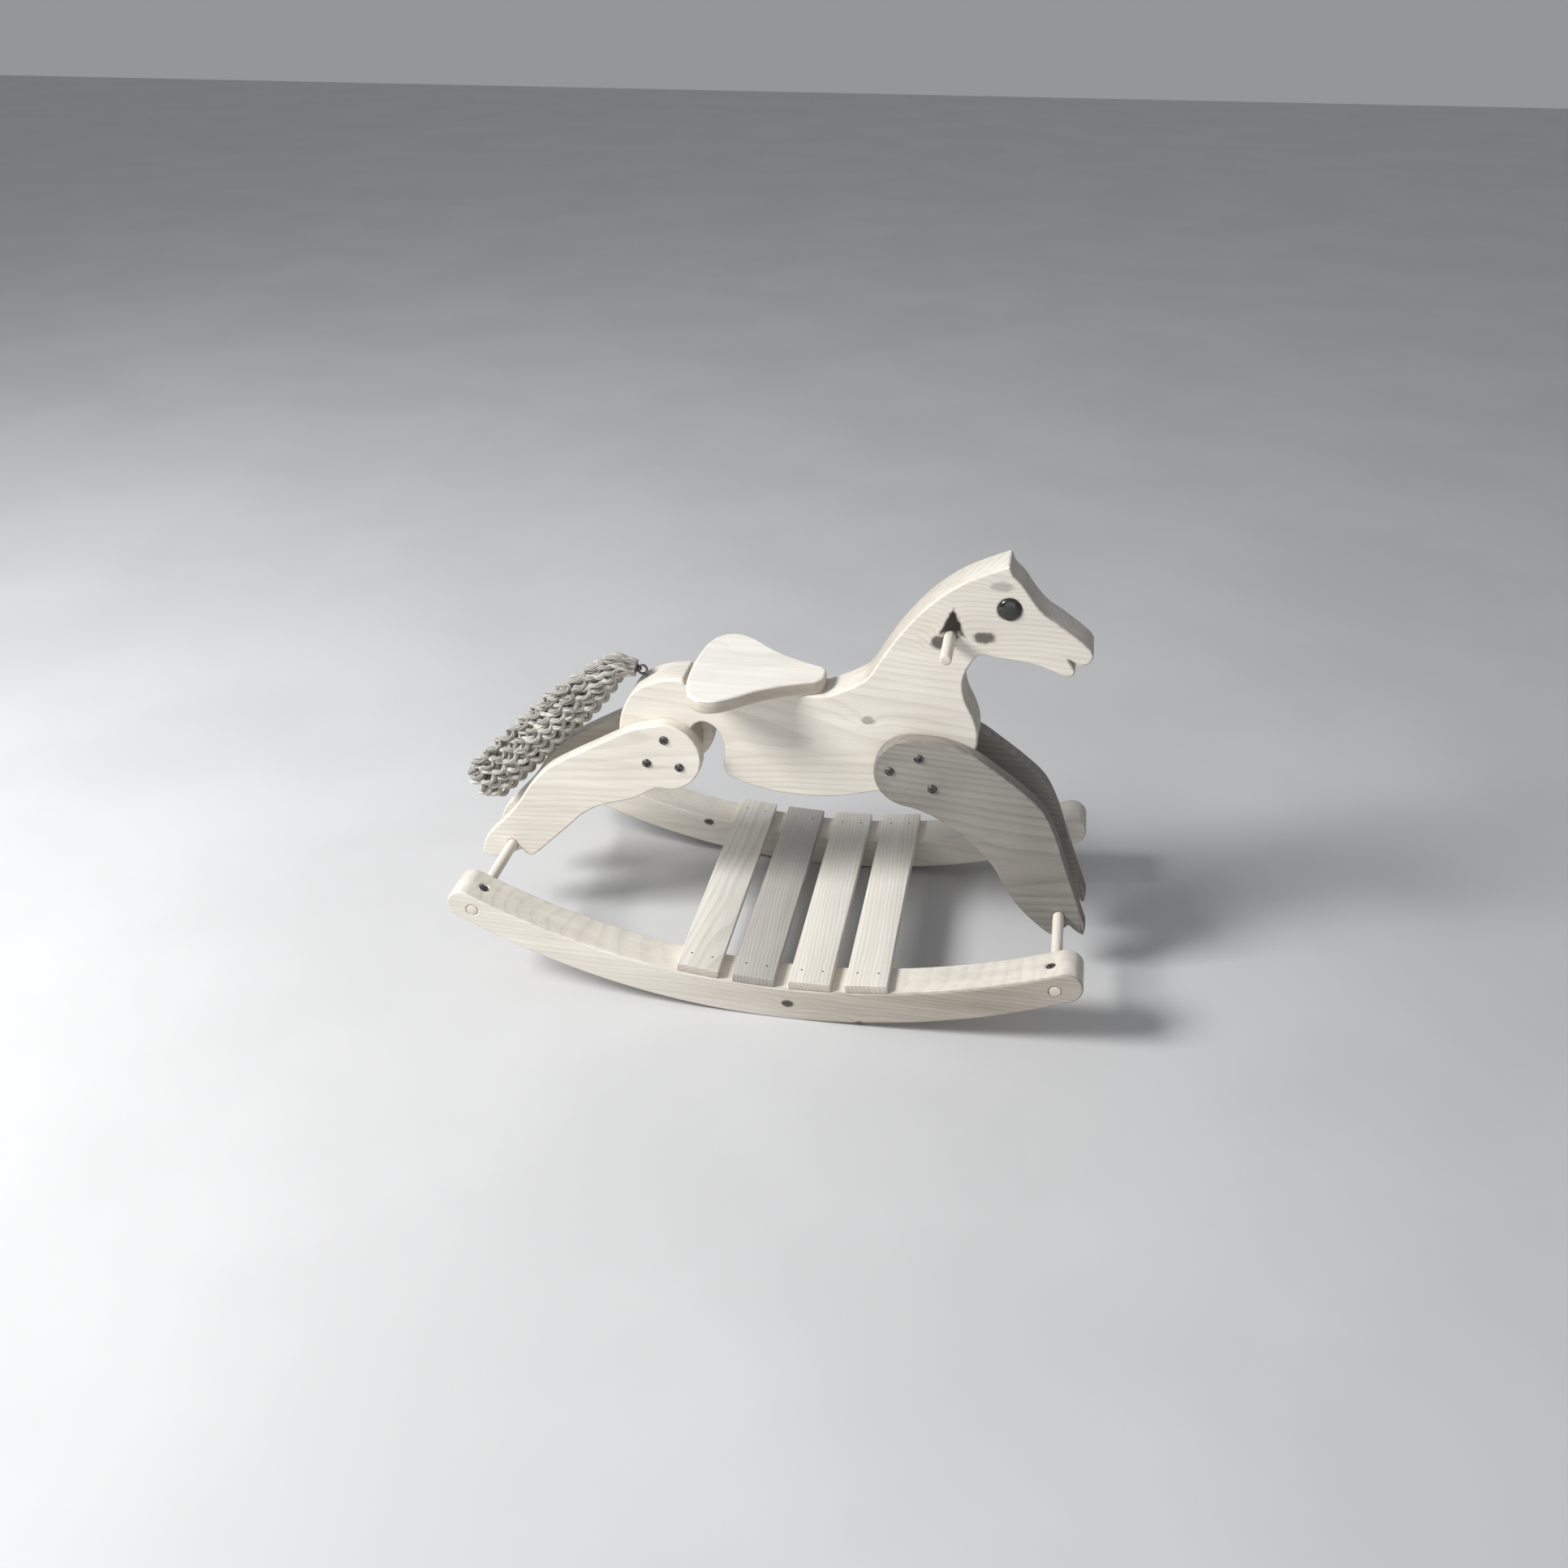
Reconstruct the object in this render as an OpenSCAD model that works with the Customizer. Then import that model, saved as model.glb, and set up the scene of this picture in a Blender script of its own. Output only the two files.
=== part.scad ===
// Rocking horse: a flat profile horse on two bow rockers, joined by round crossbars and four foot slats.
// Millimetres. +X is the way the horse faces, +Z is up, and the middle plane of the horse is Y = 0.

/* [Boards] */
// Thickness of the body board and of both rockers
stock_t = 46; // [40:1:52]
// Thickness of the four leg boards
leg_t = 18; // [15:1:22]

/* [Rockers] */
// Width over the outer faces of the two rockers
track_w = 346; // [300:2:400]
// Radius of the rocker's running edge
rocker_r = 743; // [700:1:800]
// Radius of the rocker's top edge
rocker_top_r = 760; // [745:1:780]
// Depth of the rocker at its lowest point
rocker_deep = 39; // [36:1:44]
// Angle of the rounded front end, from the lowest point
front_end_angle = 23.8; // [23:0.1:25]
// Angle of the rounded rear end, from the lowest point
rear_end_angle = 28.4; // [28:0.1:30]

/* [Crossbars and handle] */
// Diameter of the round bar stock of the crossbars and the handle
bar_d = 12; // [10:0.5:14]
// Angle of the front crossbar, from the rocker's lowest point
front_bar_angle = 22.9; // [22.5:0.1:23.2]
// Angle of the rear crossbar, from the rocker's lowest point
rear_bar_angle = 27.4; // [27:0.1:27.8]
// Length of the handle that passes through the neck
handle_len = 156; // [120:2:180]

/* [Foot slats] */
// Width of one slat
slat_w = 45; // [35:1:50]
// Gap between neighbouring slats
slat_gap = 15.5; // [10:0.5:20]
// Thickness of the slats
slat_t = 10; // [8:0.5:14]
// Length of the slats, across the rockers
slat_len = 344; // [300:2:346]

/* [Saddle] */
// Thickness of the saddle board
saddle_t = 16; // [12:1:20]
// Height of the flat that the saddle lies on
saddle_z = 309; // [309:1:310]

/* [Eyes and screws] */
// Diameter of an eye
eye_d = 23; // [18:1:26]
// Diameter of a screw's domed head
head_d = 10; // [8:0.5:11]
// Diameter of a screw's shank
shank_d = 4; // [3.5:0.5:4.5]

/* [Tail] */
// Radius of the bunch where it is fullest
tail_r = 27; // [20:1:28]
// Radius of the bunch where it starts
tail_root_r = 9; // [8:0.5:12]

/* [Hidden] */
$fn = 96;

datum_x = 15.7;             // rocker middle, measured from the middle of the whole length
contact_x = 26 + datum_x;   // where the rockers touch the floor
fit = 0.05;                 // radial clearance of a bar or dowel in its hole
right = -1;
left = 1;
leg_mid_y = stock_t / 2 + leg_t / 2;
leg_face_y = stock_t / 2 + leg_t;
rocker_mid_y = track_w / 2 - stock_t / 2;
top_centre_z = rocker_deep + rocker_top_r;
centre_gap = top_centre_z - rocker_r;

// Smooth line through points, up to but not including the last one
function between(a, b, c, d, t) =
    (2 * b + (c - a) * t + (2 * a - 5 * b + 4 * c - d) * t * t + (3 * b - a - 3 * c + d) * t * t * t) / 2;
function curve(p, n = 4) = [for (i = [0 : len(p) - 2], j = [0 : n - 1])
    between(p[max(i - 1, 0)], p[i], p[i + 1], p[min(i + 2, len(p) - 1)], j / n)];
function arc(c, r, from, to, n = 14) = [for (i = [0 : n])
    c + r * [cos(from + (to - from) * i / n), sin(from + (to - from) * i / n)]];

// Body outline, side view, from the seat over the head and back under the belly
neck_back = [[44, saddle_z], [59, 316], [76, 325], [90, 336], [104, 360], [122, 389], [149, 422],
    [180, 447], [212, 463], [226, 469]];
face = [[226, 469], [230, 459], [241, 448], [252, 433], [265, 419], [282, 408], [308, 389], [315, 379],
    [311, 370], [303, 367]];
mouth = [[303, 367], [290, 374]];
jaw = [[299, 361], [297, 356], [288, 354], [272, 360], [254, 365], [217, 369], [203, 371], [195, 361],
    [189, 347], [188, 333], [192, 317], [200, 301], [206, 284], [207, 268]];
belly = [[207, 268], [203, 248], [190, 228], [165, 212], [110, 202], [68, 191], [33, 187], [-3, 188],
    [-39, 195], [-61, 204]];
flank = [[-61, 204], [-64, 216], [-62, 234], [-66, 252], [-75, 263], [-86, 267], [-96, 262],
    [-101, 250]];
thigh = [[-101, 250], [-98, 237], [-96, 225], [-100, 211], [-120, 203], [-150, 207], [-170, 222],
    [-179, 245], [-177, 266], [-170, 284], [-160, 298], [-146, 307], [-127, 314], [-106, 317]];
seat_step = [[-106, 317], [-103, saddle_z]];
body_outline = concat(curve(neck_back), curve(face), mouth, curve(jaw), curve(belly), curve(flank),
    curve(thigh), seat_step);

// Leg outlines: a round hip, a curved upper edge, a notched hoof and a curved lower edge
hip_r = 40;
rear_hip = [-125, 229];
front_hip = [141, 236];
rear_leg_top = [[-132, 268], [-163, 259], [-201, 238], [-239, 216], [-262, 200], [-282, 177], [-300, 149],
    [-318, 128], [-338, 106], [-346, 84]];
rear_hoof = [[-346, 84], [-337, 78], [-321, 80], [-308, 86]];
rear_sole = [[-298, 92], [-293, 86], [-286, 85], [-278, 91]];
rear_leg_low = [[-278, 91], [-262, 107], [-242, 127], [-222, 147], [-200, 161], [-165, 173], [-136, 190]];
rear_leg_outline = concat(arc(rear_hip, hip_r, -105, 93), curve(rear_leg_top), curve(rear_hoof),
    [[-298, 92]], curve(rear_sole), curve(rear_leg_low));
front_leg_top = [[148, 276], [175, 274], [206, 263], [230, 247], [257, 227], [281, 205], [297, 175],
    [309, 142], [323, 105], [338, 66]];
front_hoof = [[338, 66], [337, 54], [329, 57], [320, 65]];
front_sole = [[320, 65], [312, 55], [302, 50], [291, 57]];
front_leg_low = [[291, 57], [270, 76], [251, 100], [234, 130], [208, 158], [175, 182], [150, 193],
    [131, 197]];
front_leg_outline = concat(curve(front_leg_top), curve(front_hoof), curve(front_sole), curve(front_leg_low),
    arc(front_hip, hip_r, 255, 87));

// Saddle outline, top view, one side from the back to the nose
saddle_side = [[-100, 0], [-98, 38], [-91, 67], [-77, 81], [-60, 81], [-44, 71], [-30, 58], [-15, 45],
    [6, 32], [25, 23], [38, 17], [43, 8], [43, 0]];
saddle_half = curve(saddle_side);
saddle_outline = concat(saddle_half, [for (i = [len(saddle_half) - 1 : -1 : 1])
    [saddle_half[i].x, -saddle_half[i].y]]);

// Places in the side view
eye_at = [229, 423];
handle_at = [172, 389];
rear_screws = [[-125, 251], [-145, 221], [-109, 219]];
front_screws = [[118, 238], [148, 256], [164, 221]];
saddle_dowel_x = [-70, 0];
pilot_r = 1.7;
screw_in_body = 16;
head_high = 3;
eye_deep = 4;
eye_proud = 3.5;
dowel_r = 4;
dowel_len = 26;
nail_r = 0.9;
nail_head_r = 2;
nail_len = 28;
countersink_r = 4.5;
countersink_deep = 3;
countersink_room = 0.5;
flat_head_high = 2;
screw_room = 0.1;
handle_pin_r = 1.5;
handle_pin_len = 40;
handle_pin_tilt = -50;
eye_dome_r = eye_d * 0.75;
bow_steps = 72;
end_steps = 16;

// Tail: it hangs from a screw eye behind the rump, and turns about the middle of the eye's ring
tail_pivot = [-156.1, 312.9];
tail_rise = 8;
eye_tilt = 57;
ring_r = 5;
ring_wire_r = 1.3;
eye_screw_len = 26;
loop_r = 6;
loop_wire_r = 1.2;
loop_near = 2;
ferrule_r = 6;
ferrule_from = 12;
ferrule_len = 14;
tail_sides = 20;
tail_line = [[-171, 315], [-184, 316.5], [-199, 307], [-226, 280], [-262, 244], [-292, 215], [-323, 185],
    [-352, 157]];
tail_mids = concat(curve(tail_line, 2), [tail_line[len(tail_line) - 1]]);
tail_rings = len(tail_mids) - 1;
tail_full_at = 0.5;

// Points on the rocker's middle line and its inner depth, by angle from the lowest point
function inner_r(a) = sqrt(pow(rocker_top_r, 2) - pow(centre_gap * sin(a), 2)) - centre_gap * cos(a);
function middle_r(a) = (rocker_r + inner_r(a)) / 2;
function on_rocker(a, r) = [contact_x + r * sin(a), rocker_r - r * cos(a)];

function tail_radius(t) = tail_root_r + (tail_r - tail_root_r) * sin(90 * min(1, t / tail_full_at));
function tail_way(i) = let (d = tail_mids[min(i + 1, tail_rings)] - tail_mids[max(i - 1, 0)]) d / norm(d);
function tail_ring(i) = let (m = tail_mids[i], w = tail_way(i), r = tail_radius(i / tail_rings))
    [for (k = [0 : tail_sides - 1]) let (b = 360 * k / tail_sides)
        [m.x + r * cos(b) * w.y, r * sin(b), m.y - r * cos(b) * w.x]];

module placed() translate([datum_x, 0, 0]) children();
module board(outline, t, y = 0) translate([0, y, 0]) rotate([90, 0, 0]) linear_extrude(t, center = true)
    polygon(outline);
// A round bar along Y, at p in the side view
module across(p, r, len, y = 0) translate([p.x, y, p.y]) rotate([90, 0, 0])
    cylinder(r = r, h = len, center = true);
// Turns to stand at angle a on the rocker, with Z towards the rocker's centre
module on_arc(a, z) translate([contact_x, 0, rocker_r]) rotate([0, -a, 0]) translate([0, 0, -z]) children();

module body_board() color("blanchedalmond") placed() difference() {
    board(body_outline, stock_t);
    across(handle_at, bar_d / 2 + fit, stock_t + 1);
    for (side = [right, left]) {
        across(eye_at, eye_d / 2, 2 * eye_deep, side * stock_t / 2);
        for (p = concat(rear_screws, front_screws))
            across(p, pilot_r, 2 * screw_in_body, side * stock_t / 2);
    }
    for (x = saddle_dowel_x)
        translate([x, 0, saddle_z - dowel_len / 2]) cylinder(r = dowel_r + fit, h = dowel_len);
}

module saddle() color("ivory") placed() difference() {
    translate([0, 0, saddle_z]) linear_extrude(saddle_t) polygon(saddle_outline);
    for (x = saddle_dowel_x)
        translate([x, 0, saddle_z - 1]) cylinder(r = dowel_r + fit, h = dowel_len / 2 - 1);
}

module saddle_dowels() color("tan") placed() for (x = saddle_dowel_x)
    translate([x, 0, saddle_z - dowel_len / 2 + 1]) cylinder(r = dowel_r, h = dowel_len - 4);

module leg(outline, screws, bar_angle, side) difference() {
    placed() board(outline, leg_t, side * leg_mid_y);
    across(on_rocker(bar_angle, middle_r(bar_angle)), bar_d / 2 + fit, leg_t + 1, side * leg_mid_y);
    placed() for (p = screws) across(p, shank_d / 2 + screw_room, leg_t + 1, side * leg_mid_y);
}
module leg_rear_right() color("antiquewhite") leg(rear_leg_outline, rear_screws, -rear_bar_angle, right);
module leg_rear_left() color("antiquewhite") leg(rear_leg_outline, rear_screws, -rear_bar_angle, left);
module leg_front_right() color("silver") leg(front_leg_outline, front_screws, front_bar_angle, right);
module leg_front_left() color("silver") leg(front_leg_outline, front_screws, front_bar_angle, left);

// One domed screw with its head's flat at the origin and its shank along -Z
module screw(len) {
    intersection() {
        translate([0, 0, head_high - head_d]) sphere(r = head_d);
        cylinder(d = head_d, h = head_high + 1);
    }
    translate([0, 0, -len]) cylinder(d = shank_d, h = len + 0.5);
}
module leg_screws(screws, side) placed() for (p = screws)
    translate([p.x, side * leg_face_y, p.y]) rotate([-side * 90, 0, 0]) screw(leg_t + screw_in_body - 1);
module screws_rear_right() color("dimgray") leg_screws(rear_screws, right);
module screws_rear_left() color("dimgray") leg_screws(rear_screws, left);
module screws_front_right() color("dimgray") leg_screws(front_screws, right);
module screws_front_left() color("dimgray") leg_screws(front_screws, left);

// The plain bow between its two edges, with round ends
function bow_end(a, turned) = let (c = on_rocker(a, middle_r(a)), r = (rocker_r - inner_r(a)) / 2)
    [for (i = [1 : end_steps - 1]) let (b = a + turned + 180 * i / end_steps) c + r * [cos(b), sin(b)]];
function top_angle(a) = atan2(on_rocker(a, inner_r(a)).y - top_centre_z, inner_r(a) * sin(a));
bow_outline = concat(
    arc([contact_x, rocker_r], rocker_r, -90 - rear_end_angle, -90 + front_end_angle, bow_steps),
    bow_end(front_end_angle, -90),
    arc([contact_x, top_centre_z], rocker_top_r, top_angle(front_end_angle), top_angle(-rear_end_angle),
        bow_steps),
    bow_end(-rear_end_angle, 90));
module rocker(side) difference() {
    board(bow_outline, stock_t, side * rocker_mid_y);
    for (a = [-rear_bar_angle, front_bar_angle]) {
        across(on_rocker(a, middle_r(a)), bar_d / 2 + fit, stock_t + 1, side * rocker_mid_y);
        on_arc(a, middle_r(a)) translate([0, side * rocker_mid_y, 0]) {
            cylinder(r = shank_d / 2 + screw_room, h = rocker_deep);
            translate([0, 0, middle_r(a) - inner_r(a) - countersink_deep])
                cylinder(r = countersink_r + countersink_room, h = rocker_deep);
        }
    }
}
module rocker_right() color("wheat") rocker(right);
module rocker_left() color("wheat") rocker(left);

module crossbar_front() color("burlywood")
    across(on_rocker(front_bar_angle, middle_r(front_bar_angle)), bar_d / 2, track_w);
module crossbar_rear() color("burlywood")
    across(on_rocker(-rear_bar_angle, middle_r(rear_bar_angle)), bar_d / 2, track_w);

module crossbar_screws() color("dimgray") for (a = [-rear_bar_angle, front_bar_angle], side = [right, left])
    on_arc(a, inner_r(a)) translate([0, side * rocker_mid_y, -countersink_deep]) {
        cylinder(r = countersink_r, h = flat_head_high);
        translate([0, 0, 1 - middle_r(a) + inner_r(a)]) cylinder(d = shank_d, h = middle_r(a) - inner_r(a));
    }

// Slats lie on the rocker's top edge, each touching it along both its long edges
slat_step = (slat_w + slat_gap) / rocker_top_r * 180 / PI;
slat_seat = sqrt(pow(rocker_top_r, 2) - pow(slat_w / 2, 2));
module on_top(k) translate([contact_x, 0, top_centre_z]) rotate([0, -(k - 2.5) * slat_step, 0])
    translate([0, 0, -slat_seat]) children();
module slat(k) on_top(k) translate([-slat_w / 2, -slat_len / 2, 0]) cube([slat_w, slat_len, slat_t]);
module slat_1() color("cornsilk") slat(1);
module slat_2() color("darkgray") slat(2);
module slat_3() color("cornsilk") slat(3);
module slat_4() color("cornsilk") slat(4);
module slat_nails() color("gray") for (k = [1 : 4], side = [right, left], x = [-slat_w / 4, slat_w / 4])
    on_top(k) translate([x, side * rocker_mid_y, slat_t]) {
        translate([0, 0, -1]) cylinder(r = nail_head_r, h = 1.1);
        translate([0, 0, -nail_len]) cylinder(r = nail_r, h = nail_len - 0.5);
    }

module at_handle() translate([handle_at.x, 0, handle_at.y]) rotate([0, handle_pin_tilt, 0]) children();
module handle() color("burlywood") placed() difference() {
    across(handle_at, bar_d / 2, handle_len);
    at_handle() cylinder(r = handle_pin_r, h = 2 * bar_d, center = true);
}
// A hidden pin, driven from the back of the neck, keeps the handle from sliding
module handle_pin() color("tan") placed() at_handle()
    translate([0, 0, -bar_d / 2]) cylinder(r = handle_pin_r, h = handle_pin_len);

// A glossy domed eye, let into a shallow round recess
module eye(side) placed() translate([eye_at.x, side * (stock_t / 2 - eye_deep), eye_at.y])
    rotate([-side * 90, 0, 0]) {
    cylinder(d = eye_d - 2 * fit, h = eye_deep);
    translate([0, 0, eye_deep]) intersection() {
        translate([0, 0, eye_proud - eye_dome_r]) sphere(r = eye_dome_r);
        translate([0, 0, -1]) cylinder(d = eye_d - 2 * fit, h = eye_proud + 2);
    }
}
module eye_right() color("black") eye(right);
module eye_left() color("black") eye(left);

// Stands at the tail's pivot with Z out of the rump, tilted up from level
module from_pivot(tilt) placed() translate([tail_pivot.x, 0, tail_pivot.y]) rotate([0, tilt - 90, 0])
    children();
module tail_eye() color("silver") from_pivot(eye_tilt) {
    rotate([90, 0, 0]) rotate_extrude() translate([ring_r, 0]) circle(ring_wire_r, $fn = 48);
    translate([0, 0, -ring_r - eye_screw_len])
        cylinder(r = ring_wire_r, h = eye_screw_len + ring_wire_r / 4);
}
module tail_loop() color("silver") from_pivot(tail_rise) translate([0, 0, loop_near + loop_r])
    rotate([0, 90, 0]) rotate_extrude() translate([loop_r, 0]) circle(loop_wire_r, $fn = 48);
module tail_ferrule() color("burlywood") from_pivot(tail_rise) translate([0, 0, ferrule_from])
    cylinder(r = ferrule_r, h = ferrule_len);
module tail() color("gainsboro") difference() {
    placed() polyhedron(
        points = [for (i = [0 : tail_rings]) each tail_ring(i)],
        faces = concat([[for (k = [tail_sides - 1 : -1 : 0]) k]],
            [for (i = [0 : tail_rings - 1], k = [0 : tail_sides - 1])
                let (a = i * tail_sides, n = (k + 1) % tail_sides)
                [a + k, a + n, a + n + tail_sides, a + k + tail_sides]],
            [[for (k = [0 : tail_sides - 1]) tail_rings * tail_sides + k]]));
    from_pivot(tail_rise) cylinder(r = ferrule_r, h = ferrule_from + ferrule_len);
}

body_board();
saddle();
saddle_dowels();
leg_rear_right();
leg_rear_left();
leg_front_right();
leg_front_left();
screws_rear_right();
screws_rear_left();
screws_front_right();
screws_front_left();
rocker_right();
rocker_left();
crossbar_front();
crossbar_rear();
crossbar_screws();
slat_1();
slat_2();
slat_3();
slat_4();
slat_nails();
handle();
handle_pin();
eye_right();
eye_left();
tail_eye();
tail_loop();
tail_ferrule();
tail();
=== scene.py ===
# %% [markdown]
# # A small rocking horse in pine, steel and rope
# The CAD part already fixes every size and place, so this script only makes the looks.
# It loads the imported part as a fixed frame, puts a finished piece over each CAD node, and lights it softly.

# %% Load the frame
import math

import bmesh
import bpy
import numpy as np
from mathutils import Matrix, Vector


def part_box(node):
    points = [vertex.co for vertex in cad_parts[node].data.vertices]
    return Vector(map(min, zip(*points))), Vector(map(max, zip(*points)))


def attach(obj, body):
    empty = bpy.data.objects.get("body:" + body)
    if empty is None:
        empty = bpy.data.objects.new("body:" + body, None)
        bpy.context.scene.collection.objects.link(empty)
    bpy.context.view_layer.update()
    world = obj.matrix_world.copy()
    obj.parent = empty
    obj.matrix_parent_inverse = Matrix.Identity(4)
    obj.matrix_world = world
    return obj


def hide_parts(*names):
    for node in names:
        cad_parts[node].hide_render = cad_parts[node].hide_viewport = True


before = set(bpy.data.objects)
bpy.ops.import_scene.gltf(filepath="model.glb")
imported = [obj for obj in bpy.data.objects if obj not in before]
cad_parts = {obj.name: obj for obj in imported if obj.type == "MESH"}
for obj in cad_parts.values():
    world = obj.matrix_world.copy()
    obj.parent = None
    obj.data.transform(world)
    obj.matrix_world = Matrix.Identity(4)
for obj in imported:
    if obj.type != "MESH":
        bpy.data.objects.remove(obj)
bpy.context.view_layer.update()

MM = 0.001        # one millimetre, in metres
MERGE = 2e-6      # points closer than this are one point

# %% [markdown]
# ## Sums on sockets
# A wood pattern is a long sum, and it reads best as a sum. One small class wraps an output socket, so that
# `1 - mask` adds a Math node. One method makes every other node from its type, its settings and its values.
# The same class serves shader trees and geometry trees, because both use the same Math nodes.

# %% A node tree that can be written as sums
class Strand:
    """One output socket that can be used in sums."""

    def __init__(self, bench, socket):
        self.bench, self.socket = bench, socket

    def sum(self, operation, *others):
        return self.bench.sum(operation, self, *others)

    def __add__(self, other): return self.sum("ADD", other)
    def __radd__(self, other): return self.sum("ADD", other)
    def __sub__(self, other): return self.sum("SUBTRACT", other)
    def __rsub__(self, other): return self.bench.sum("SUBTRACT", other, self)
    def __mul__(self, other): return self.sum("MULTIPLY", other)
    def __rmul__(self, other): return self.sum("MULTIPLY", other)
    def __truediv__(self, other): return self.sum("DIVIDE", other)
    def __rtruediv__(self, other): return self.bench.sum("DIVIDE", other, self)
    def __pow__(self, other): return self.sum("POWER", other)

    def parts(self):
        split = self.bench.make("ShaderNodeSeparateXYZ", {}, {0: self}, out=None)
        return [Strand(self.bench, s) for s in split.outputs]


class Bench:
    """A node tree with one method that makes any node."""

    def __init__(self, tree):
        self.tree = tree

    def make(self, kind, settings=None, values=None, out=0):
        node = self.tree.nodes.new(kind)
        for name, value in (settings or {}).items():
            setattr(node, name, value)
        for key, value in (values or {}).items():
            socket = node.inputs[key]
            if isinstance(value, Strand):
                self.tree.links.new(value.socket, socket)
            else:
                socket.default_value = value
        return node if out is None else Strand(self, node.outputs[out])

    def sum(self, operation, *values):
        return self.make("ShaderNodeMath", {"operation": operation}, dict(enumerate(values)))

    def point(self, x, y, z):
        return self.make("ShaderNodeCombineXYZ", {}, {0: x, 1: y, 2: z})

    def step(self, value, low, high):
        """0 below low, 1 above high, and smooth between them."""
        return self.make("ShaderNodeMapRange", {"interpolation_type": "SMOOTHSTEP"},
                         {"Value": value, "From Min": low, "From Max": high})

    def cloud(self, place, scale, detail=2.0):
        """Soft noise round 0.5."""
        return self.make("ShaderNodeTexNoise", {}, {"Vector": place, "Scale": scale, "Detail": detail})

    def blend(self, share, first, second):
        return self.make("ShaderNodeMix", {"data_type": "RGBA"}, {0: share, 6: first, 7: second}, out=2)


# %% [markdown]
# ## Wood that runs through the board
# Real boards are cut from a log, so the rings run through the whole board and the end grain fits the face.
# A flat image wrapped round a board can't do that. Here the pattern is solid: each point in space asks how far it is
# from the log's middle, and that distance makes the rings. Fine fibres are noise that is stretched along the grain.
# Knots push the rings aside. The edges that the maker sanded round carry a face attribute, so they can look worn. Some
# shade is painted into the colour: end grain is darkened partly as painted shade, and upright faces or one end of a
# board can carry painted shade.

# %% Make a wood
def wood(name, pale, late, run="X", shift=(0, 0, 0), pith=(0.07, 0.05), ring=0.0052, rings=0.16, patches=0.40,
         end_grain_and_shade=0.30, rim=0.0, knots_and_shadows=(), worn=(), gloss=0.50, painted_front_shade=None):
    """A solid wood. A knot, a painted shadow or a worn spot is (middle, half sizes, strength, shape) in the frame.

    The grain follows the axis that run names. Darker end grain is partly painted shade, and upright faces or one end
    of a board can be given painted shade.
    """
    material = bpy.data.materials.new(name)
    material.use_nodes = True
    material.node_tree.nodes.clear()
    b = Bench(material.node_tree)
    place = b.make("ShaderNodeTexCoord", out="Object")
    x, y, z = place.parts()
    moved = b.make("ShaderNodeMapping", {}, {"Vector": place, "Location": shift})
    mx, my, mz = moved.parts()
    along, wide, deep = (mx, mz, my) if run == "X" else (my, mx, mz)

    def spot_distance(middle, half, shape, ragged):
        """1 on the edge of an oval spot, or of one with three corners and its tip up."""
        u, v, w = [(c - m) / h for c, m, h in zip((x, y, z), middle, half)]
        if shape == "oval":
            far = (u * u + v * v + w * w) ** 0.5
        else:
            far = (u.sum("ABSOLUTE") * 2 + w).sum("MAXIMUM", w * -1).sum("MAXIMUM", v.sum("ABSOLUTE"))
        return far + wobble * ragged

    flow, dark, light_spot = 0.0, 0.0, 0.0
    wobble = b.cloud(place, 140.0) - 0.5
    for middle, half, strength, shape in knots_and_shadows:
        far = spot_distance(middle, half, shape, 0.7)
        dark = b.sum("MAXIMUM", dark, (1 - b.step(far, 0.60, 1.15)) * strength)
        flow = flow + 1.6 / (1 + far * far * 0.5)
    for middle, half, strength, shape in worn:
        light_spot = light_spot + (1 - b.step(spot_distance(middle, half, shape, 1.2), 0.3, 1.2)) * strength

    sway = b.cloud(b.point(along * 2.2, wide * 9, deep * 9), 1.0, 3.0) - 0.5
    reach = ((wide - pith[0]) ** 2 + (deep - pith[1]) ** 2) ** 0.5
    turn = (reach + along * 0.035 + sway * 0.030) / ring + flow
    turn = turn.sum("FRACT")
    late_wood = b.step(turn, 0.35, 0.93) * (1 - b.step(turn, 0.93, 1.0))
    fibre = b.cloud(b.point(along * 14, wide * 650, deep * 650), 1.0, 3.0) - 0.5
    streak = b.cloud(b.point(along * 2.5, wide * 75, deep * 75), 1.0, 2.0) - 0.5
    patch = b.cloud(moved, 8.0, 4.0) - 0.5
    edge = b.make("ShaderNodeAttribute", {"attribute_name": "edge"}, out="Fac")
    rubbed = edge * b.step(b.cloud(place, 55.0, 3.0), 0.42, 0.62)

    facing = b.make("ShaderNodeTexCoord", out="Normal").parts()
    # Faces that look along the grain are darkened: partly the wood's own darker end grain, partly painted shade.
    end_face_mask = b.step(facing["XYZ".index(run)].sum("ABSOLUTE"), 0.35, 0.95)
    # Painted shade: upright faces, such as the saddle's rim, are darkened by the rim amount.
    upright_painted_shade = 1 - b.step(facing[2].sum("ABSOLUTE"), 0.2, 0.8)
    tone = 0.84 + patch * patches + streak * 0.5 + fibre * 0.4
    tone = tone - late_wood * rings - rubbed * 0.10 + light_spot
    tone = tone - end_face_mask * end_grain_and_shade - upright_painted_shade * rim
    # Painted shade: the rockers' outer faces darken towards the front, while their tops stay light.
    if painted_front_shade:
        side, start, end, drop = painted_front_shade
        outer_face_shade_mask = b.step(y.sum("ABSOLUTE"), side - 0.004, side - 0.001)
        tone = tone - b.step(x, start, end) * outer_face_shade_mask * drop
    tone = tone.sum("MAXIMUM", 0.0)
    colour = b.blend(tone.sum("MINIMUM", 1.0), (*late, 1), (*pale, 1))
    spot_mottle = b.cloud(b.point(x * 260, y * 20, z * 260), 1.0, 1.0)
    knot_and_shadow_colour = b.blend(spot_mottle, (late[0] * 0.02, late[1] * 0.016, late[2] * 0.012, 1),
                          (late[0] * 0.05, late[1] * 0.04, late[2] * 0.03, 1))
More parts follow.
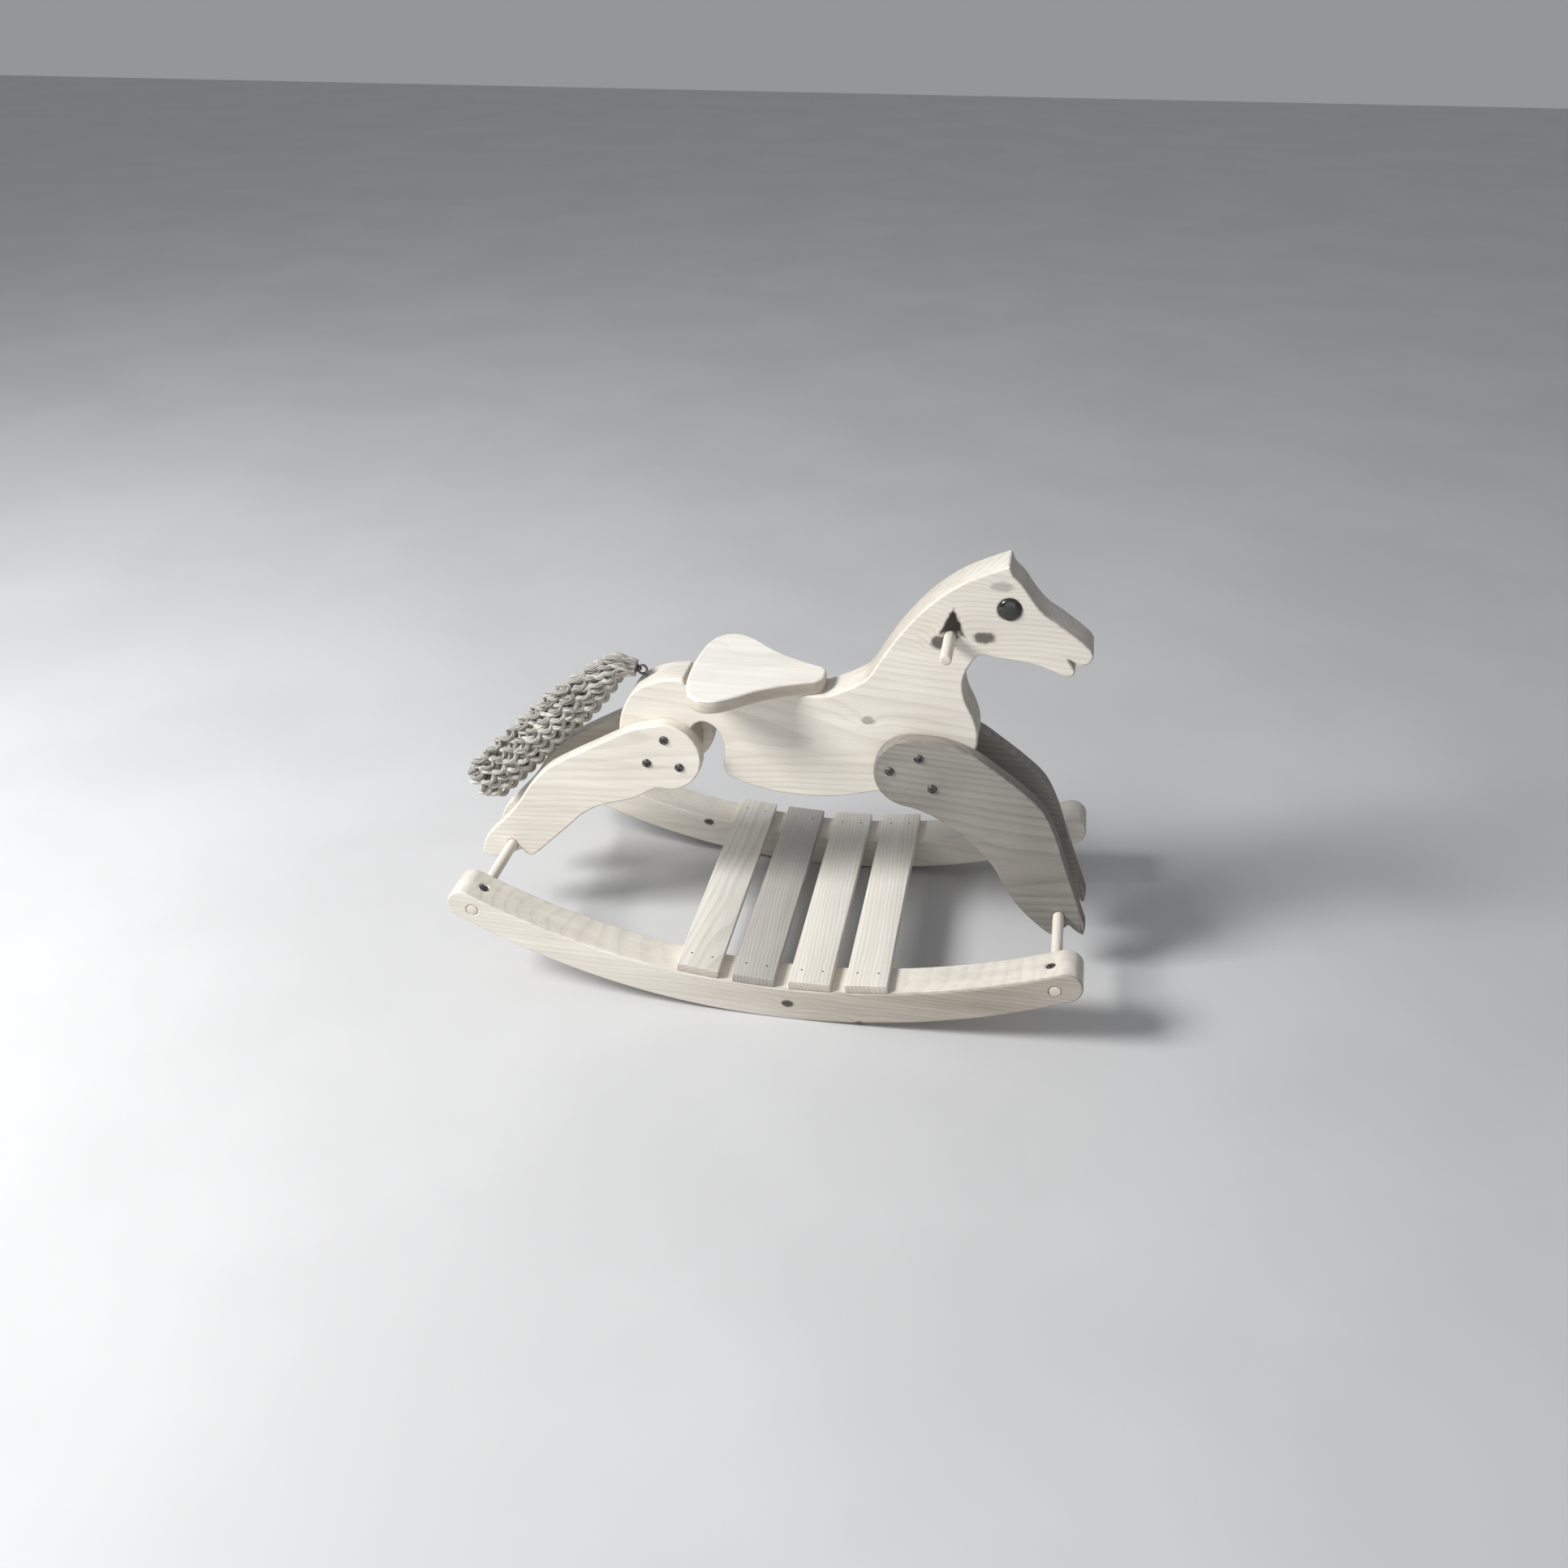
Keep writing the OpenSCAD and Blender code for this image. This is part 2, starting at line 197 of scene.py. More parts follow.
    # Knots, and the painted shadow of the handle, take the dark knot colour.
    colour = b.blend(b.sum("MULTIPLY", dark, 0.99), colour, knot_and_shadow_colour)
    roughness = gloss + fibre * 0.25 + late_wood * -0.06 + rubbed * 0.10
    height = fibre * 0.6 - late_wood * 0.35 + streak * 0.3 + b.sum("MULTIPLY", dark, 0.5)
    bump = b.make("ShaderNodeBump", {}, {"Strength": 0.45, "Distance": 0.0005, "Height": height})
    surface = b.make("ShaderNodeBsdfPrincipled", {}, {"Base Color": colour, "Roughness": roughness,
                     "Normal": bump, "Specular IOR Level": 0.42})
    b.make("ShaderNodeOutputMaterial", {}, {"Surface": surface}, out=None)
    return material


# %% [markdown]
# ## The boards and their finishes
# The body, rockers and rear legs are pale pine. The front legs were cut from a darker, greyer board, and so was the
# second slat. The saddle is the palest. Each board gets its own shift in the log, so that no two match.
# The knots, and one painted shadow of the handle on the neck, are placed from the CAD boxes of the pieces that they
# sit beside.

# %% Places that the finishes refer to
def centre(node):
    low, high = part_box(node)
    return (low + high) / 2


handle_mid = centre("handle")
body_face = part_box("body_board")[0].y
rocker_face = -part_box("rocker_right")[0].y
contact_x = (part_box("slat_2")[1].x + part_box("slat_3")[0].x) / 2
front_bar, rear_bar = centre("crossbar_front"), centre("crossbar_rear")
print("handle at", [round(v, 3) for v in handle_mid], "rocker face at", round(rocker_face, 4))

# %% Woods
PALE, LATE = (0.80, 0.76, 0.68), (0.40, 0.35, 0.28)
THROUGH = 0.2      # a knot this deep goes through any board
hx, hz = handle_mid.x, handle_mid.z
body_knots_and_handle_shadow = [((hx + 0.0015, 0, hz + 0.0175), (0.0145, THROUGH, 0.0175), 1.0, "three corners"),
              # This spot, right of the handle, is a painted shadow of the handle on the neck.
              ((hx + 0.034, body_face, hz + 0.002), (0.0125, 0.012, 0.0075), 0.82, "oval"),
              ((hx - 0.0115, body_face, hz - 0.0075), (0.0090, 0.012, 0.0085), 0.85, "oval"),
              ((hx + 0.048, body_face, hz + 0.058), (0.012, 0.009, 0.006), 0.35, "oval"),
              ((hx - 0.080, body_face, hz - 0.103), (0.0080, 0.012, 0.0055), 0.50, "oval")]
# The body's end grain, such as the head's front edge, is darkened: partly real end grain, partly painted shade.
pine_body = wood("pine_body", PALE, LATE, shift=(0.3, 0.02, -0.21), pith=(0.055, 0.075), end_grain_and_shade=0.50,
                 knots_and_shadows=body_knots_and_handle_shadow)
# The saddle's rim is darkened with painted shade.
pine_saddle = wood("pine_saddle", (0.92, 0.89, 0.82), (0.50, 0.45, 0.37), shift=(0.1, 0.02, 0.4),
                   rings=0.06, patches=0.20, end_grain_and_shade=0.0, rim=0.75, gloss=0.42)
pine_leg = wood("pine_leg", PALE, LATE, shift=(1.3, 0.01, -0.28), pith=(-0.03, 0.09), ring=0.0046)
front_screw_mid = centre("screws_front_right")
grey_leg = wood("grey_leg", (0.32, 0.30, 0.268), (0.09, 0.083, 0.07), shift=(2.1, 0.03, -0.10),
                pith=(0.04, 0.06), ring=0.0060, rings=0.20, patches=0.9, gloss=0.56,
                worn=[((front_screw_mid.x - 0.004, -0.041, front_screw_mid.z - 0.006),
                       (0.034, 0.02, 0.026), 0.20, "oval")])
rocker_knots = [((front_bar.x - 0.275, -rocker_face, 0.020), (0.007, 0.010, 0.005), 0.9, "oval"),
                ((rear_bar.x + 0.19, rocker_face - 0.046, 0.045), (0.007, 0.009, 0.005), 0.9, "oval"),
                ((contact_x + 0.085, -rocker_face, 0.003), (0.007, 0.012, 0.005), 0.8, "oval")]
# The rockers' outer faces carry painted shade that deepens towards the front.
pine_rocker = wood("pine_rocker", (0.77, 0.73, 0.65), (0.32, 0.28, 0.23), shift=(0.7, 0.19, 0.05),
                   pith=(-0.04, 0.05), painted_front_shade=(rocker_face, -0.12, 0.22, 0.60), patches=0.45, rings=0.10, knots_and_shadows=rocker_knots)
# The slats' ends are darkened: partly real end grain, partly painted shade.
pine_slat = wood("pine_slat", (0.80, 0.77, 0.70), (0.46, 0.41, 0.34), run="Y", shift=(0.05, 0.2, 0.03),
                 pith=(0.02, 0.03), ring=0.0042, rings=0.24, end_grain_and_shade=0.55)
grey_slat = wood("grey_slat", (0.52, 0.50, 0.46), (0.26, 0.24, 0.21), run="Y", shift=(0.9, 0.5, 0.06),
                 pith=(0.01, 0.04), ring=0.0042, rings=0.24, end_grain_and_shade=0.45, gloss=0.56)
beech_bar = wood("beech_bar", (0.80, 0.75, 0.67), (0.52, 0.45, 0.36), run="Y", shift=(0.2, 0.9, 0.4),
                 ring=0.0030, rings=0.12, patches=0.3)
print("woods:", [m.name for m in bpy.data.materials])

# %% [markdown]
# ## Steel, eyes and rope
# The screws are dull dark steel: their colour and gloss vary in small blotches. The eyes are black glass-like domes.
# The tail's yarns are off-white. Each has its own tone, and three plies that twist round it, drawn from two attributes
# that the yarn tree writes: how far along the yarn a point is, and how far round it.

# %% Make the other finishes
def plain_finish(name, light, dark, grain, low, high, depth, **constants):
    """A finish that varies between two colours and two roughnesses in soft blotches of one scale."""
    material = bpy.data.materials.new(name)
    material.use_nodes = True
    material.node_tree.nodes.clear()
    b = Bench(material.node_tree)
    place = b.make("ShaderNodeTexCoord", out="Object")
    blotch = b.step(b.cloud(place, grain, 4.0), 0.35, 0.65)
    fine = b.cloud(place, grain * 6, 2.0)
    bump = b.make("ShaderNodeBump", {}, {"Strength": 0.4, "Distance": depth, "Height": fine + blotch * 0.5})
    surface = b.make("ShaderNodeBsdfPrincipled", {}, {
        "Base Color": b.blend(blotch, (*dark, 1), (*light, 1)),
        "Roughness": low + (high - low) * (blotch * 0.6 + fine * 0.4), "Normal": bump, **constants})
    b.make("ShaderNodeOutputMaterial", {}, {"Surface": surface}, out=None)
    return material


def yarn_finish(name, pale, dark):
    """Three plies twisted round each yarn, with hairs along the plies and grooves darkened with painted shade."""
    material = bpy.data.materials.new(name)
    material.use_nodes = True
    material.node_tree.nodes.clear()
    b = Bench(material.node_tree)
    read = lambda word: b.make("ShaderNodeAttribute", {"attribute_name": word}, out="Fac")
    along, around, own = read("yarn_along"), read("yarn_around"), read("yarn_tone")
    twist = (around * 3 + along / 0.011) * (2 * math.pi)
    ply_relief_and_groove_shade = twist.sum("SINE").sum("ABSOLUTE")
    hair = b.cloud(b.point(around * 24 + along / 0.0015, along * 260, own * 9), 1.0, 3.0)
    place = b.make("ShaderNodeTexCoord", out="Object")
    soil = b.cloud(place, 24.0, 3.0)
    # The grooves between the plies are darkened: painted shade.
    tone = 0.02 + ply_relief_and_groove_shade * 0.30 + hair * 0.26 + own * 0.44 + soil * 0.14
    bump = b.make("ShaderNodeBump", {}, {"Strength": 0.8, "Distance": 0.0012, "Height": ply_relief_and_groove_shade + hair * 0.45})
    surface = b.make("ShaderNodeBsdfPrincipled", {}, {
        "Base Color": b.blend(tone.sum("MINIMUM", 1.0), (*dark, 1), (*pale, 1)),
        "Roughness": 0.95 - hair * 0.15, "Normal": bump, "Sheen Weight": 0.25, "Sheen Roughness": 0.5})
    b.make("ShaderNodeOutputMaterial", {}, {"Surface": surface}, out=None)
    return material


steel = plain_finish("dull_steel", (0.20, 0.195, 0.19), (0.06, 0.055, 0.05), 420.0,
                     0.32, 0.58, 0.0001, Metallic=0.9)
eye_black = plain_finish("eye_gloss", (0.016, 0.015, 0.015), (0.008, 0.008, 0.008), 160.0,
                         0.10, 0.20, 0.00002,
                         **{"Coat Weight": 0.8, "Coat Roughness": 0.05})
rope = yarn_finish("rope_yarn", (0.72, 0.69, 0.62), (0.07, 0.062, 0.052))
print("finishes:", steel.name, eye_black.name, rope.name)

# %% [markdown]
# ## Boards with sanded edges
# A saw leaves sharp edges, and a toy has them sanded round. The CAD boards are sharp, so each gets a copy whose edges
# are bevelled. The copy is merged first, because the frame's meshes are loose triangles, and its flat faces are
# joined so that only real edges are left. The bevel gives its own faces a second material number, and that number
# becomes the face attribute that the wood reads as wear.

# %% Make a plain mesh of an object with its modifiers
def settled(rough):
    """The mesh that an object's modifiers make. The rough object is removed."""
    bpy.context.view_layer.update()
    graph = bpy.context.evaluated_depsgraph_get()
    mesh = bpy.data.meshes.new_from_object(rough.evaluated_get(graph), preserve_all_data_layers=True,
                                           depsgraph=graph)
    bpy.data.objects.remove(rough)
    return mesh


def shown(name, mesh):
    """A new object for a finished mesh, at the origin."""
    mesh.name = name
    piece = bpy.data.objects.new(name, mesh)
    bpy.context.scene.collection.objects.link(piece)
    return piece


# %% Round the edges of a board
def thin_axis(node):
    low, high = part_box(node)
    return list(high - low).index(min(high - low))


def clear_corners(board, thin, width, sharp):
    """Takes out the outline's fine steps beside its sharp corners, where a rounding would fold over them."""
    corners, steps = [], []
    for line in board.edges:
        a, b = (v.co for v in line.verts)
        through = (b - a).normalized()[thin]
        if abs(through) > 0.999:
            is_corner = line.calc_face_angle(0.0) > math.radians(sharp)
            (corners if is_corner else steps).append((line, (a + b) / 2))
    close = [line for line, place in steps if any((place - p).length < 1.5 * width for _, p in corners)]
    bmesh.ops.dissolve_edges(board, edges=close, use_verts=True)


def rounded(node, width, material, segments=3, sharp=32.0):
    """A finished copy of one CAD node, with rounded edges, which stands for it."""
    merged = bmesh.new()
    merged.from_mesh(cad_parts[node].data)
    bmesh.ops.remove_doubles(merged, verts=merged.verts, dist=MERGE)
    bmesh.ops.dissolve_limit(merged, angle_limit=math.radians(0.4), verts=merged.verts, edges=merged.edges)
    bmesh.ops.recalc_face_normals(merged, faces=merged.faces)
    thin = thin_axis(node)
    clear_corners(merged, thin, width, sharp)
    for face in merged.faces:
        face.smooth, face.material_index = True, 0
    mesh = bpy.data.meshes.new(node)
    merged.to_mesh(mesh)
    merged.free()
    mesh.materials.clear()
    mesh.materials.append(material)
    mesh.materials.append(material)
    rough = shown("rough_" + node, mesh)
    bevel = rough.modifiers.new("sanded", "BEVEL")
    bevel.width, bevel.segments, bevel.limit_method = width, segments, "ANGLE"
    bevel.angle_limit, bevel.material, bevel.harden_normals = math.radians(sharp), 1, True
    bevel.use_clamp_overlap, bevel.miter_outer = False, "MITER_ARC"
    done = settled(rough)
    on_edge = [float(p.material_index == 1) for p in done.polygons]
    done.attributes.new("edge", "FLOAT", "FACE").data.foreach_set("value", on_edge)
    done.polygons.foreach_set("material_index", [0] * len(done.polygons))
    done.materials.clear()
    done.materials.append(material)
    normals = [tuple(n.vector) for n in done.corner_normals]
    low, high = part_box(node)
    for p in done.polygons:
        depths = [done.vertices[v].co[thin] for v in p.vertices]
        for face, way in ((low[thin], -1.0), (high[thin], 1.0)):
            if all(abs(d - face) < 0.0001 for d in depths):
                for corner in p.loop_indices:
                    normals[corner] = tuple(way * (axis == thin) for axis in range(3))
    done.normals_split_custom_set(normals)
    print(node, "faces", len(on_edge), "of which sanded", int(sum(on_edge)))
    piece = shown(node + "_finished", done)
    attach(piece, "horse")
    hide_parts(node)
    return piece


# %% Body, saddle, legs and rockers
made = [rounded("body_board", 2.5 * MM, pine_body, segments=4),
        rounded("saddle", 3.2 * MM, pine_saddle, segments=4)]
for side in ("right", "left"):
    made.append(rounded("leg_rear_" + side, 2.0 * MM, pine_leg))
    made.append(rounded("leg_front_" + side, 2.0 * MM, grey_leg))
    made.append(rounded("rocker_" + side, 2.0 * MM, pine_rocker))
print("boards:", {p.name: len(p.data.polygons) for p in made})

# %% Slats and round bars
for number in (1, 2, 3, 4):
    finish, slot_name = (grey_slat, "slat_grey") if number == 2 else (pine_slat, "slat_pale")
    made.append(rounded(f"slat_{number}", 1.1 * MM, finish))
for bar in ("crossbar_front", "crossbar_rear", "handle"):
    made.append(rounded(bar, (2.0 if bar == "handle" else 0.8) * MM, beech_bar))
print("pieces so far:", len(made))

# %% [markdown]
# ## Screws and nails
# Screws repeat, so one head is turned once and a geometry tree sets a copy at each place. The places come from the
# CAD: each fastener there is a separate shell, whose long axis and thicker end say where the head is and which way
# it faces. The tree gives each head a random turn of its slot, with a fixed seed, and ends in plain mesh.

# %% Find the fasteners of a CAD node
def fasteners(node):
    """(middle of the head's top, direction out of the wood) of each fastener in a node."""
    mesh = bmesh.new()
    mesh.from_mesh(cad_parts[node].data)
    bmesh.ops.remove_doubles(mesh, verts=mesh.verts, dist=MERGE)
    left, found = set(mesh.verts), []
    for first in mesh.verts:
        if first not in left:
            continue
        left.remove(first)
        todo, shell = [first], []
        while todo:
            vertex = todo.pop()
            shell.append(np.array(vertex.co))
            for edge in vertex.link_edges:
                other = edge.other_vert(vertex)
                if other in left:
                    left.remove(other)
                    todo.append(other)
        found.append(np.array(shell))
    mesh.free()
    out = []
    for points in found:
        middle = points.mean(0)
        axis = np.linalg.svd(points - middle, full_matrices=False)[2][0]
        t = (points - middle) @ axis
        off = np.linalg.norm(points - middle - np.outer(t, axis), axis=1)
        span = t.max() - t.min()
        wide_high = off[t > t.max() - span * 0.2].max()
        wide_low = off[t < t.min() + span * 0.2].max()
        if wide_low > wide_high:
            axis, t = -axis, -t
        shank = points[t < t.min() + span * 0.5]
        foot = shank.mean(0)
        out.append((foot + axis * (points @ axis).max() - axis * (foot @ axis), axis))
    return out


# %% Turn one head
def turned_head(name, radius, rim, crown, slot_width, slot_depth, rings=7, around=28):
    """A round head with a domed or flat top, a slot across it and a short shank, with its top at Z = 0."""
    shape = bmesh.new()
    rows = []
    for k in range(rings):
        r = radius * (1 - k / rings)
        rows.append((r, -crown * (r / radius) ** 2))
    profile = [(radius * 0.42, -crown - rim - 6 * MM), (radius * 0.42, -crown - rim), (radius * 0.96, -crown - rim),
               (radius, -crown - rim * 0.75)] + rows
    loops = []
    for r, z in profile:
        loops.append([shape.verts.new((r * math.cos(2 * math.pi * a / around),
                                       r * math.sin(2 * math.pi * a / around), z)) for a in range(around)])
    for lower, upper in zip(loops, loops[1:]):
        for a in range(around):
            n = (a + 1) % around
            shape.faces.new((lower[a], lower[n], upper[n], upper[a]))
    shape.faces.new(list(reversed(loops[0])))
    shape.faces.new(loops[-1])
    bmesh.ops.recalc_face_normals(shape, faces=shape.faces)
    mesh = bpy.data.meshes.new(name)
    shape.to_mesh(mesh)
    shape.free()
    head = shown(name, mesh)
    if slot_width:
        blade = bmesh.new()
        bmesh.ops.create_cube(blade, size=1.0)
        for v in blade.verts:
            v.co = (v.co.x * radius * 3, v.co.y * slot_width, v.co.z * slot_depth * 2)
        blade_mesh = bpy.data.meshes.new("blade")
        blade.to_mesh(blade_mesh)
        blade.free()
        cutter = shown("blade", blade_mesh)
        cut = head.modifiers.new("slot", "BOOLEAN")
        cut.object, cut.operation, cut.solver = cutter, "DIFFERENCE", "EXACT"
        head = shown(name, settled(head))
        bpy.data.objects.remove(cutter)
    return head


# %% The tree that sets the heads
def tree_input(tree, name, kind):
    tree.interface.new_socket(name, in_out="INPUT", socket_type=kind)


heads_tree = bpy.data.node_groups.new("set_heads", "GeometryNodeTree")
for label, kind in (("Geometry", "NodeSocketGeometry"), ("Head", "NodeSocketObject"), ("Seed", "NodeSocketInt"),
                    ("Finish", "NodeSocketMaterial")):
    tree_input(heads_tree, label, kind)
heads_tree.interface.new_socket("Geometry", in_out="OUTPUT", socket_type="NodeSocketGeometry")
hb = Bench(heads_tree)
given = hb.make("NodeGroupInput", out=None)
given = {s.name: Strand(hb, s) for s in given.outputs if s.name}
head_shape = hb.make("GeometryNodeObjectInfo", {"transform_space": "ORIGINAL"}, {"Object": given["Head"]},
                     out="Geometry")
aim = hb.make("GeometryNodeInputNamedAttribute", {"data_type": "FLOAT_VECTOR"}, {"Name": "aim"},
              out="Attribute")
facing = hb.make("FunctionNodeAlignRotationToVector", {"axis": "Z"}, {"Vector": aim})
spin = hb.make("FunctionNodeRandomValue", {"data_type": "FLOAT"}, {2: 0.0, 3: math.pi, "Seed": given["Seed"]},
               out=1)
spun = hb.make("FunctionNodeRotateRotation", {"rotation_space": "LOCAL"}, {
    0: facing, 1: hb.make("FunctionNodeAxisAngleToRotation", {}, {"Axis": (0, 0, 1), "Angle": spin})})
set_heads = hb.make("GeometryNodeInstanceOnPoints", {}, {"Points": given["Geometry"], "Instance": head_shape,
                                                         "Rotation": spun})
plain = hb.make("GeometryNodeRealizeInstances", {}, {"Geometry": set_heads})
coated = hb.make("GeometryNodeSetMaterial", {}, {"Geometry": plain, "Material": given["Finish"]})
hb.make("NodeGroupOutput", {}, {0: coated}, out=None)
print("tree inputs:", list(given))


# %% Run a tree and keep its mesh
def grown(name, tree, mesh, inputs, smooth=None):
    """Runs a tree on a mesh, with inputs set by socket identifier, and returns an object with the plain result."""
    holder = shown("holder", mesh)
    modifier = holder.modifiers.new("tree", "NODES")
    modifier.node_group = tree
    for item in tree.interface.items_tree:
        if item.in_out == "INPUT" and item.name in inputs:
            modifier[item.identifier] = inputs[item.name]
    done = settled(holder)
    done.polygons.foreach_set("use_smooth", [True] * len(done.polygons))
    if smooth:
        done.set_sharp_from_angle(angle=math.radians(smooth))
    return shown(name, done)


def place_mesh(places):
    mesh = bpy.data.meshes.new("places")
    mesh.from_pydata([tuple(p) for p, _ in places], [], [])
    aims = mesh.attributes.new("aim", "FLOAT_VECTOR", "POINT")
    aims.data.foreach_set("vector", [c for _, d in places for c in d])
    return mesh


# %% Leg screws, crossbar screws and slat nails
SCREW_NODES = ["screws_rear_right", "screws_rear_left", "screws_front_right", "screws_front_left"]
kinds = [("leg_screw_heads", SCREW_NODES, turned_head("dome", 5 * MM, 1.0 * MM, 2.0 * MM, 1.3 * MM, 1.5 * MM), 3),
         ("crossbar_screw_heads", ["crossbar_screws"],
          turned_head("flat", 4.5 * MM, 1.6 * MM, 0.25 * MM, 1.2 * MM, 1.0 * MM), 5),
         ("slat_nail_heads", ["slat_nails"], turned_head("nail", 2 * MM, 0.5 * MM, 0.3 * MM, 0, 0, 4, 16), 7)]
for name, nodes, head, seed in kinds:
    places = [f for n in nodes for f in fasteners(n)]
    piece = grown(name, heads_tree, place_mesh(places), {"Head": head, "Seed": seed, "Finish": steel},
                  smooth=35)
    bpy.data.objects.remove(head)
    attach(piece, "horse")
    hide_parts(*nodes)
    print(name, len(places), "heads, first at", [round(float(v), 4) for v in places[0][0]])

# %% [markdown]
# ## Eyes
# Each eye is a polished dome let into the wood. It is one smooth turned shape with a small rolled rim,
# and its gloss does the rest.

# %% Turn the eyes
def turned_eye(node):
    low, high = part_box(node)
    out = 1 if high.y > 0.02 else -1
    middle = (low + high) / 2
    radius, deep = (high.x - low.x) / 2, high.y - low.y
    base = low.y if out > 0 else high.y
    dome = 3.5 * MM
    profile = [(0.0, 0.0), (radius, 0.0), (radius, deep - dome - 0.2 * MM)]
    steps = 14
    for k in range(steps + 1):
        a = math.radians(90 * k / steps)
        profile.append((radius * math.cos(a) ** 0.9 if k < steps else 0.0, deep - dome + dome * math.sin(a)))
    shape = bmesh.new()
    around = 64
    loops = []
    for r, h in profile:
        ring_of = 1 if r < 1e-9 else around
        loops.append([shape.verts.new((middle.x + r * math.cos(2 * math.pi * a / around), base + out * h,
                                       middle.z + r * math.sin(2 * math.pi * a / around))) for a in range(ring_of)])
    for lower, upper in zip(loops, loops[1:]):
        for a in range(around):
            n = (a + 1) % around
            if len(lower) == 1:
                shape.faces.new((lower[0], upper[n], upper[a]))
            elif len(upper) == 1:
                shape.faces.new((lower[a], lower[n], upper[0]))
            else:
                shape.faces.new((lower[a], lower[n], upper[n], upper[a]))
    bmesh.ops.recalc_face_normals(shape, faces=shape.faces)
    mesh = bpy.data.meshes.new(node + "_dome")
    shape.to_mesh(mesh)
    shape.free()
    mesh.polygons.foreach_set("use_smooth", [True] * len(mesh.polygons))
    mesh.set_sharp_from_angle(angle=math.radians(50))
    mesh.materials.append(eye_black)
    piece = shown(node + "_dome", mesh)
    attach(piece, "horse")
    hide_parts(node)
    return piece


for node in ("eye_right", "eye_left"):
    print(turned_eye(node).name)

# %% [markdown]
# ## The tail
# The tail is a bunch of thick crimped yarns, cut square. Hair particles would be far too many faces, and a noise
# bump on a solid looks like felt. A geometry tree grows each yarn as a curve: it follows the bunch's bent middle
# line, keeps its own place in the round bunch, and winds in a small corkscrew, which gives the crimped look.

# %% The bunch's middle line
DATUM = 15.7      # the CAD part's own shift along X, in millimetres
TAIL_LINE = [(-163, 313.5), (-171, 314.5), (-184, 315), (-199, 304), (-226, 277), (-262, 241), (-292, 212),
             (-323, 182), (-352, 154)]


def smooth_line(points, steps=10):
    """A smooth line through points, as an open chain of places in metres on the middle plane."""
    p = [np.array(q, float) for q in points]
    places = []
    for i in range(len(p) - 1):
        a, b, c, d = p[max(i - 1, 0)], p[i], p[i + 1], p[min(i + 2, len(p) - 1)]
        for k in range(steps):
            t = k / steps
            places.append((2 * b + (c - a) * t + (2 * a - 5 * b + 4 * c - d) * t * t
                           + (3 * b - a - 3 * c + d) * t * t * t) / 2)
    places.append(p[-1])
    return [((q[0] + DATUM) * MM, 0.0, q[1] * MM) for q in places]


middle_line = smooth_line(TAIL_LINE)
line_length = sum(math.dist(a, b) for a, b in zip(middle_line, middle_line[1:]))
BUNCH = {"Yarns": 40, "Length": line_length + 4 * MM, "Bunch radius": 24 * MM, "Root radius": 8.5 * MM,
         "Yarn radius": 2.9 * MM, "Curl radius": 3.0 * MM, "Curl pitch": 19 * MM}
print("tail line is", round(line_length, 4), "m long")

# %% The yarn tree
yarn_tree = bpy.data.node_groups.new("grow_yarns", "GeometryNodeTree")
tree_input(yarn_tree, "Geometry", "NodeSocketGeometry")
tree_input(yarn_tree, "Yarns", "NodeSocketInt")
for label in list(BUNCH)[1:]:
    tree_input(yarn_tree, label, "NodeSocketFloat")
tree_input(yarn_tree, "Seed", "NodeSocketInt")
tree_input(yarn_tree, "Finish", "NodeSocketMaterial")
yarn_tree.interface.new_socket("Geometry", in_out="OUTPUT", socket_type="NodeSocketGeometry")
yb = Bench(yarn_tree)
given = yb.make("NodeGroupInput", out=None)
given = {s.name: Strand(yb, s) for s in given.outputs if s.name}


def keep(geometry, name, value):
    return yb.make("GeometryNodeStoreNamedAttribute", {"data_type": "FLOAT"},
                   {"Geometry": geometry, "Name": name, "Value": value})


def kept(name):
    return yb.make("GeometryNodeInputNamedAttribute", {"data_type": "FLOAT"}, {"Name": name}, out="Attribute")


def chance(low, high, extra):
    return yb.make("FunctionNodeRandomValue", {"data_type": "FLOAT"}, {2: low, 3: high, "Seed": given["Seed"] + extra},
                   out=1)


roots = yb.make("GeometryNodePoints", {}, {"Count": given["Yarns"]})
index = yb.make("GeometryNodeInputIndex")
GOLDEN_TURN = 2.39996      # radians, which fills a round bunch evenly
roots = keep(roots, "fan", index * GOLDEN_TURN + chance(-0.2, 0.2, 1))
roots = keep(roots, "outness", ((index + 0.5) / given["Yarns"]) ** 0.5)
roots = keep(roots, "phase", chance(0.0, 2 * math.pi, 2))
roots = keep(roots, "reach", chance(0.955, 1.0, 3))
roots = keep(roots, "yarn_tone", chance(0.0, 1.0, 4))
roots = keep(roots, "pitch", chance(0.82, 1.25, 5))
guide = yb.make("GeometryNodeMeshToCurve", {}, {"Mesh": given["Geometry"]})
line = yb.make("GeometryNodeCurvePrimitiveLine", {}, {"Start": (0, 0, 0), "End": (0, 0, 1)})
line = yb.make("GeometryNodeResampleCurve", {}, {"Curve": line, "Count": 150})
lines = yb.make("GeometryNodeInstanceOnPoints", {}, {"Points": roots, "Instance": line})
lines = yb.make("GeometryNodeRealizeInstances", {}, {"Geometry": lines})
t = yb.make("GeometryNodeSplineParameter", out="Factor")
s = t * given["Length"] * kept("reach")
on_guide = yb.make("GeometryNodeSampleCurve", {"mode": "LENGTH", "use_all_curves": True},
                   {"Curves": guide, "Length": s}, out=None)
at, way = (Strand(yb, on_guide.outputs[name]) for name in ("Position", "Tangent"))
(at_x, _, at_z), (way_x, _, way_z) = at.parts(), way.parts()
full = (t * (math.pi * 0.95)).sum("MINIMUM", math.pi / 2).sum("SINE")
spread = (given["Root radius"] + (given["Bunch radius"] - given["Root radius"]) * full) * kept("outness")
wind = s / (given["Curl pitch"] * kept("pitch")) * (2 * math.pi) + kept("phase")
